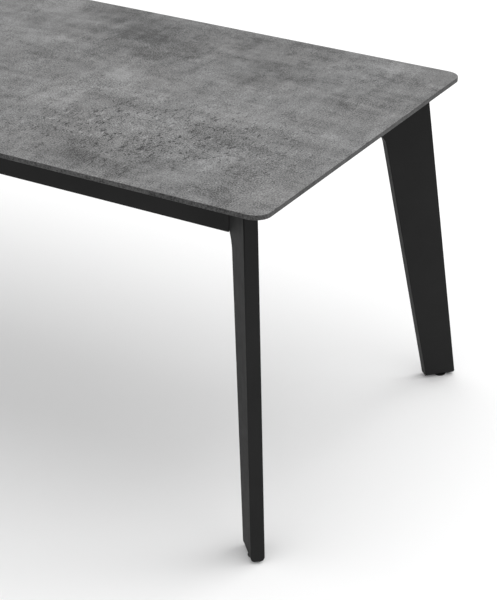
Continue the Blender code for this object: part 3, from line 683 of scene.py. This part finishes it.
def make_rails(look):
    """Mitred rails: the long ones deep, the short ones low so that the leaves pass over them."""
    aside = LEG_THICK / 2.0 + TOUCH
    for side, sy in SIDES:
        outer = x_beside_leg(RAIL_OUTER_Y, -aside)
        inner = x_beside_leg(RAIL_INNER_Y, -aside)
        outline = [(-outer, sy * RAIL_OUTER_Y), (outer, sy * RAIL_OUTER_Y),
                   (inner, sy * RAIL_INNER_Y), (-inner, sy * RAIL_INNER_Y)]
        mesh = prism("long_rail", outline, RAIL_BOTTOM, FRAME_TOP)
        rail = piece("long_rail_" + side, mesh, look, "frame",
                     stands_for=["side_rail_" + side])
        bevel(rail, RAIL_EDGE_RADIUS, 4, 30.0)
    for end, sx in ENDS:
        outer = y_beside_leg(RAIL_OUTER_X, aside)
        inner = y_beside_leg(RAIL_INNER_X, aside)
        outline = [(sx * RAIL_OUTER_X, -outer), (sx * RAIL_OUTER_X, outer),
                   (sx * RAIL_INNER_X, inner), (sx * RAIL_INNER_X, -inner)]
        mesh = prism("short_rail", outline, END_LOW.z, END_HIGH.z)
        rail = piece("short_rail_" + end, mesh, look, "frame",
                     stands_for=["end_rail_" + end])
        bevel(rail, RAIL_EDGE_RADIUS, 4, 30.0)


def make_feet(look):
    """Glide disc with a rounded rim on a slim stem."""
    disc = LEG_BOTTOM - TOUCH
    profile = [(0.0, 0.0), (FOOT_RADIUS - 0.0022, 0.0), (FOOT_RADIUS - 0.0008, 0.0003),
               (FOOT_RADIUS - 0.0001, 0.0010), (FOOT_RADIUS, 0.0015), (FOOT_RADIUS, disc - 0.0007),
               (FOOT_RADIUS - 0.0002, disc - 0.0002), (FOOT_RADIUS - 0.0007, disc),
               (FOOT_STEM, disc), (FOOT_STEM, FOOT_STEM_TOP), (0.0, FOOT_STEM_TOP)]
    mesh = lathe("glide", profile)
    for name, sx, sy in CORNERS:
        x, y = corner_point(sx, sy, FOOT_ALONG)
        piece("glide_" + name, mesh, look, "foot_" + name,
              Matrix.Translation((x, y, 0.0)), ["foot_" + name])


# ---------------------------------------------------------------- frame under the top
def make_fittings(look, screw_look):
    """Cast corner blocks between the rails, each with four screws into the long rail."""
    face = LEG_HEAD_END + TOUCH
    side_y = FITTING_HIGH.y
    end_x = FITTING_HIGH.x
    wing_y = side_y - FITTING_WING
    web = face + FITTING_WEB
    head = screw_head("fitting_screw", 0.0042, 0.0024, 0.0018)
    for name, sx, sy in CORNERS:
        corners = [(FITTING_LOW.x, side_y, 0.0005), (*crossing(face, y=side_y), 0.0005),
                   (*crossing(face, x=end_x), 0.0005), (end_x, FITTING_INNER_Y, 0.0020),
                   (*crossing(web, y=FITTING_INNER_Y), 0.0040), (*crossing(web, y=wing_y), 0.0060),
                   (FITTING_LOW.x, wing_y, 0.0025)]
        outline = [(sx * x, sy * y) for x, y in rounded(corners, 5)]
        mesh = prism("corner_casting", outline, FITTING_LOW.z, FITTING_HIGH.z)
        casting = piece("corner_casting_" + name, mesh, look, "frame",
                        stands_for=["corner_fitting_" + name])
        bevel(casting, 0.0009, 3, 40.0)
        places = [facing((sx * x, sy * wing_y, z), (0, -sy, 0))
                  for x in FITTING_SCREW_X for z in FITTING_SCREW_Z]
        piece("fitting_screws_" + name, joined("fitting_screws", head, places), screw_look,
              "frame")


def make_bearers(bar_look, bracket_look, screw_look):
    """Flat bars across the frame, each end on an angle bracket, and the screws through them."""
    small = screw_head("bearer_screw", 0.0040, 0.0018, 0.0017)
    bracket = angle_bracket("bearer_bracket", 0.028, 0.026, 0.030)
    clip = angle_bracket("rack_clip", 0.013, 0.016, 0.018)
    brackets, clips, screws = [], [], []
    bearer_bottom = BEARER_LOW.z
    bearer_top = BEARER_HIGH.z
    for index in range(1, 5):
        low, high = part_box("bearer_%d" % index)
        middle = (low.x + high.x) / 2.0
        outline = rounded([(low.x, low.y, 0.0008), (high.x, low.y, 0.0008),
                           (high.x, high.y, 0.0008), (low.x, high.y, 0.0008)], 3)
        mesh = prism("flat_bar", outline, low.z, high.z)
        bar = piece("flat_bar_%d" % index, mesh, bar_look, "frame",
                    stands_for=["bearer_%d" % index])
        bevel(bar, 0.0008, 3)
        for _, sy in SIDES:
            inward = Vector((0.0, -sy, 0.0))
            up = Vector((0.0, 0.0, 1.0))
            place = Matrix((inward, up, inward.cross(up))).transposed().to_4x4()
            place.translation = (middle, sy * (RAIL_INNER_Y - TOUCH), bearer_top + TOUCH)
            brackets.append(place)
            on_bar = (middle, sy * (RAIL_INNER_Y - 0.019), bearer_top + TOUCH + BRACKET_THICK)
            on_rail = (middle, sy * (RAIL_INNER_Y - BRACKET_THICK - TOUCH), bearer_top + 0.017)
            screws += [facing(on_bar, up), facing(on_rail, inward)]
            down = -up
            place = Matrix((-inward, down, (-inward).cross(down))).transposed().to_4x4()
            place.translation = (middle, sy * (RACK_OUTER_Y + TOUCH), bearer_bottom - TOUCH)
            clips.append(place)
            under_bar = (middle, sy * (RACK_OUTER_Y + 0.0085), bearer_bottom - TOUCH - BRACKET_THICK)
            on_rack = (middle, sy * (RACK_OUTER_Y + TOUCH + BRACKET_THICK), bearer_bottom - 0.0105)
            screws += [facing(under_bar, down), facing(on_rack, -inward)]
            screws.append(facing((middle, sy * ARM_OFFSET, bearer_bottom), down))
    top_places = []
    for x in TOP_BRACKET_X:
        for _, sy in SIDES:
            inward = Vector((0.0, -sy, 0.0))
            down = Vector((0.0, 0.0, -1.0))
            place = Matrix((inward, down, inward.cross(down))).transposed().to_4x4()
            place.translation = (x, sy * (RAIL_INNER_Y - TOUCH), UNDERSIDE - TOUCH)
            top_places.append(place)
            under_top = (x, sy * (RAIL_INNER_Y - 0.019), UNDERSIDE - TOUCH - BRACKET_THICK)
            on_rail = (x, sy * (RAIL_INNER_Y - BRACKET_THICK - TOUCH), UNDERSIDE - 0.018)
            screws += [facing(under_top, down), facing(on_rail, inward)]
    piece("bearer_brackets", joined("bearer_brackets", bracket, brackets), bracket_look,
          "frame")
    piece("top_brackets", joined("top_brackets", bracket, top_places), bracket_look,
          "frame")
    piece("rack_clips", joined("rack_clips", clip, clips), bracket_look, "frame")
    piece("bracket_screws", joined("bracket_screws", small, screws), screw_look,
          "frame")


def make_batten(look, screw_look):
    """Planed batten with eased edges, held up to the top by five screws."""
    outline = [(BATTEN_LOW.x, BATTEN_LOW.y), (BATTEN_HIGH.x, BATTEN_LOW.y),
               (BATTEN_HIGH.x, BATTEN_HIGH.y), (BATTEN_LOW.x, BATTEN_HIGH.y)]
    mesh = prism("beech_batten", outline, BATTEN_LOW.z, BATTEN_HIGH.z)
    batten = piece("beech_batten", mesh, look, "frame", stands_for=["centre_batten"])
    bevel(batten, 0.0020, 4)
    head = screw_head("batten_screw", 0.0048, 0.0022, 0.0019)
    places = [facing((x, 0.0, BATTEN_LOW.z), (0, 0, -1)) for x in BATTEN_SCREW_X]
    piece("batten_screws", joined("batten_screws", head, places), screw_look, "frame")


# ---------------------------------------------------------------- carriages
def make_carriages(arm_look, bar_look, felt_look, screw_look):
    """Pull bar with a finger grip; arms of inverted T section, flanged to it and felted on top."""
    grip = GRIP_HALF_WIDTH
    slope = 1.4 * GRIP_DEPTH
    low, high, half = BAR_LOW.z, BAR_HIGH.z, BAR_HIGH.y
    points = [(-half, low, 0.004), (-grip - slope, low, 0.008), (-grip, low + GRIP_DEPTH, 0.008),
              (grip, low + GRIP_DEPTH, 0.008), (grip + slope, low, 0.008), (half, low, 0.004),
              (half, high, 0.0008), (-half, high, 0.0008)]
    bar_mesh = prism("grip_bar", rounded(points, 8), BAR_LOW.x, BAR_HIGH.x)
    flange_wide, flange_high = ARM_FLANGE[0] / 2.0, ARM_LOW.z + ARM_FLANGE[1]
    web = ARM_WEB / 2.0
    half_tee = [(flange_wide, ARM_LOW.z, 0.0008), (flange_wide, flange_high, 0.0008),
                (web, flange_high, 0.0012), (web, ARM_HIGH.z, 0.0012)]
    tee = half_tee + [(-x, z, radius) for x, z, radius in reversed(half_tee)]
    arm_mesh = prism("tee_arm", rounded(tee, 4), ARM_LOW.x, ARM_HIGH.x)
    plate_low, plate_high = ARM_LOW.z + 0.0004, ARM_HIGH.z - 0.0015
    plate = rounded([(-PLATE_HALF_WIDTH, plate_low, PLATE_RADIUS),
                     (PLATE_HALF_WIDTH, plate_low, PLATE_RADIUS),
                     (PLATE_HALF_WIDTH, plate_high, PLATE_RADIUS),
                     (-PLATE_HALF_WIDTH, plate_high, PLATE_RADIUS)], 6)
    plate_back = ARM_HIGH.x - 0.0022
    plate_mesh = prism("arm_flange", plate, plate_back, ARM_HIGH.x - 0.0002)
    felt_low, felt_high = ARM_HIGH.z - 0.0002, ARM_HIGH.z + 0.0004
    strip = rounded([(-0.0065, felt_low, 0.0), (0.0065, felt_low, 0.0),
                     (0.0062, felt_high, 0.0002), (-0.0062, felt_high, 0.0002)], 3)
    felt_mesh = prism("felt_strip", strip, *FELT_SPAN)
    head = screw_head("flange_screw", 0.0034, 0.0014, 0.0015)
    for end, sx in ENDS:
        body = "carriage_" + end
        turn = Matrix.Rotation(0.0 if sx > 0 else math.pi, 4, "Z")
        bar = piece("grip_bar_" + end, bar_mesh, bar_look, body,
                    turn @ bar_frame(), ["pull_bar_" + end])
        bevel(bar, 0.0012, 4, 50.0)
        places = []
        for side, sy in SIDES:
            shift = Matrix.Translation((0.0, sy * ARM_OFFSET, 0.0)) @ turn @ bar_frame()
            name = end + "_" + side
            piece("tee_arm_" + name, arm_mesh, arm_look, body, shift,
                  ["arm_" + name])
            piece("arm_flange_" + name, plate_mesh, arm_look, body, shift)
            piece("felt_strip_" + name, felt_mesh, felt_look, body, shift)
            for aside in (-PLATE_SCREW_ASIDE, PLATE_SCREW_ASIDE):
                point = (sx * plate_back, sy * ARM_OFFSET + aside, ARM_HIGH.z - PLATE_SCREW_DROP)
                places.append(facing(point, (-sx, 0, 0)))
        piece("flange_screws_" + end, joined("flange_screws", head, places), screw_look,
              body)


def make_buttons(look):
    """Rounded tongues under the overhang, with a softened rim."""
    near, far = -BUTTON_RADIUS, BUTTON_LENGTH + BUTTON_RADIUS * 0.7
    wide = BUTTON_RADIUS
    points = [(-wide, near, wide * 0.9), (wide, near, wide * 0.9),
              (wide * 0.7, far, wide * 0.6), (-wide * 0.7, far, wide * 0.6)]
    outline = rounded(points, 12)
    for name, sx, sy in CORNERS:
        mesh = prism("tongue", [(x, -sy * y) for x, y in outline], BUTTON_LOW.z, BUTTON_HIGH.z)
        place = Matrix.Translation((sx * BUTTON_PIVOT[0], sy * BUTTON_PIVOT[1], 0.0))
        tongue = piece("tongue_" + name, mesh, look, "turn_button_" + name, place,
                       ["turn_button_" + name])
        bevel(tongue, 0.0010, 4)


# ---------------------------------------------------------------- stage
def make_floor():
    g = Graph("studio floor")
    g.set(Base_Color=grey(FLOOR_LEVEL), Roughness=0.85, Specular_IOR_Level=0.2)
    mesh = prism("studio_floor", [(-9, -7), (9, -7), (9, 11), (-9, 11)], -0.02, 0.0)
    floor = bpy.data.objects.new("studio_floor", mesh)
    mesh.materials.append(g.material)
    bpy.context.scene.collection.objects.link(floor)


def make_light(name, place, aim, size, power):
    data = bpy.data.lights.new(name, "AREA")
    data.shape = "RECTANGLE"
    data.size, data.size_y = size
    data.energy = power
    light = bpy.data.objects.new(name, data)
    light.location = place
    light.rotation_euler = (Vector(aim) - Vector(place)).to_track_quat("-Z", "Y").to_euler()
    bpy.context.scene.collection.objects.link(light)


def make_studio():
    make_floor()
    world = bpy.data.worlds.new("studio")
    world.use_nodes = True
    background = world.node_tree.nodes["Background"]
    background.inputs["Color"].default_value = (1.0, 1.0, 1.0, 1.0)
    background.inputs["Strength"].default_value = WORLD_STRENGTH
    bpy.context.scene.world = world
    make_light("key", (3.2, 5.1, 6.8), (0.0, 0.0, 0.3), (5.4, 5.4), KEY_POWER)
    make_light("overhead", (0.6, 0.3, 4.5), (0.6, 0.0, 0.0), (4.0, 4.0), OVERHEAD_POWER)
    bpy.context.scene.view_settings.view_transform = "Standard"

    camera = bpy.data.cameras.new("camera")
    camera.lens = CAMERA_LENS
    camera.sensor_width = 36.0
    camera.shift_x = CAMERA_SHIFT
    camera.clip_end = 60.0
    view = bpy.data.objects.new("camera", camera)
    view.location = CAMERA_PLACE
    view.rotation_euler = (math.radians(90.0 - CAMERA_DOWN), 0.0, math.radians(CAMERA_TURN))
    bpy.context.scene.collection.objects.link(view)
    bpy.context.scene.camera = view


# ---------------------------------------------------------------- everything
def dress_nodes(looks):
    """Every CAD node gets the material of its slot; the pieces made here replace most of them."""
    for entry in frame["record"]["subparts"]:
        mesh = frame["nodes"][entry["node"]].data
        mesh.materials.clear()
        mesh.materials.append(looks[entry["material_slot"]])


looks = {"stone_laminate": stone_laminate("stone laminate", DECOR_LEVEL),
         "black_lacquer": black_lacquer(), "aluminium": aluminium(), "zinc_steel": zinc_steel(),
         "black_steel": black_steel(), "black_nylon": black_nylon(), "beech": beech()}
dress_nodes(looks)
# The board's edge gets a darker copy of the decor: painted shade on its sideways faces.
make_boards(looks["stone_laminate"], stone_laminate("stone laminate shaded edge", SHADED_EDGE_LEVEL))
make_legs(looks["black_lacquer"])
make_rails(looks["black_lacquer"])
make_feet(looks["black_nylon"])
make_fittings(cast_aluminium(), looks["zinc_steel"])
make_bearers(looks["black_steel"], looks["zinc_steel"], looks["zinc_steel"])
make_batten(looks["beech"], looks["zinc_steel"])
make_carriages(looks["black_steel"], looks["black_lacquer"], felt(), looks["zinc_steel"])
make_buttons(looks["black_steel"])
make_studio()
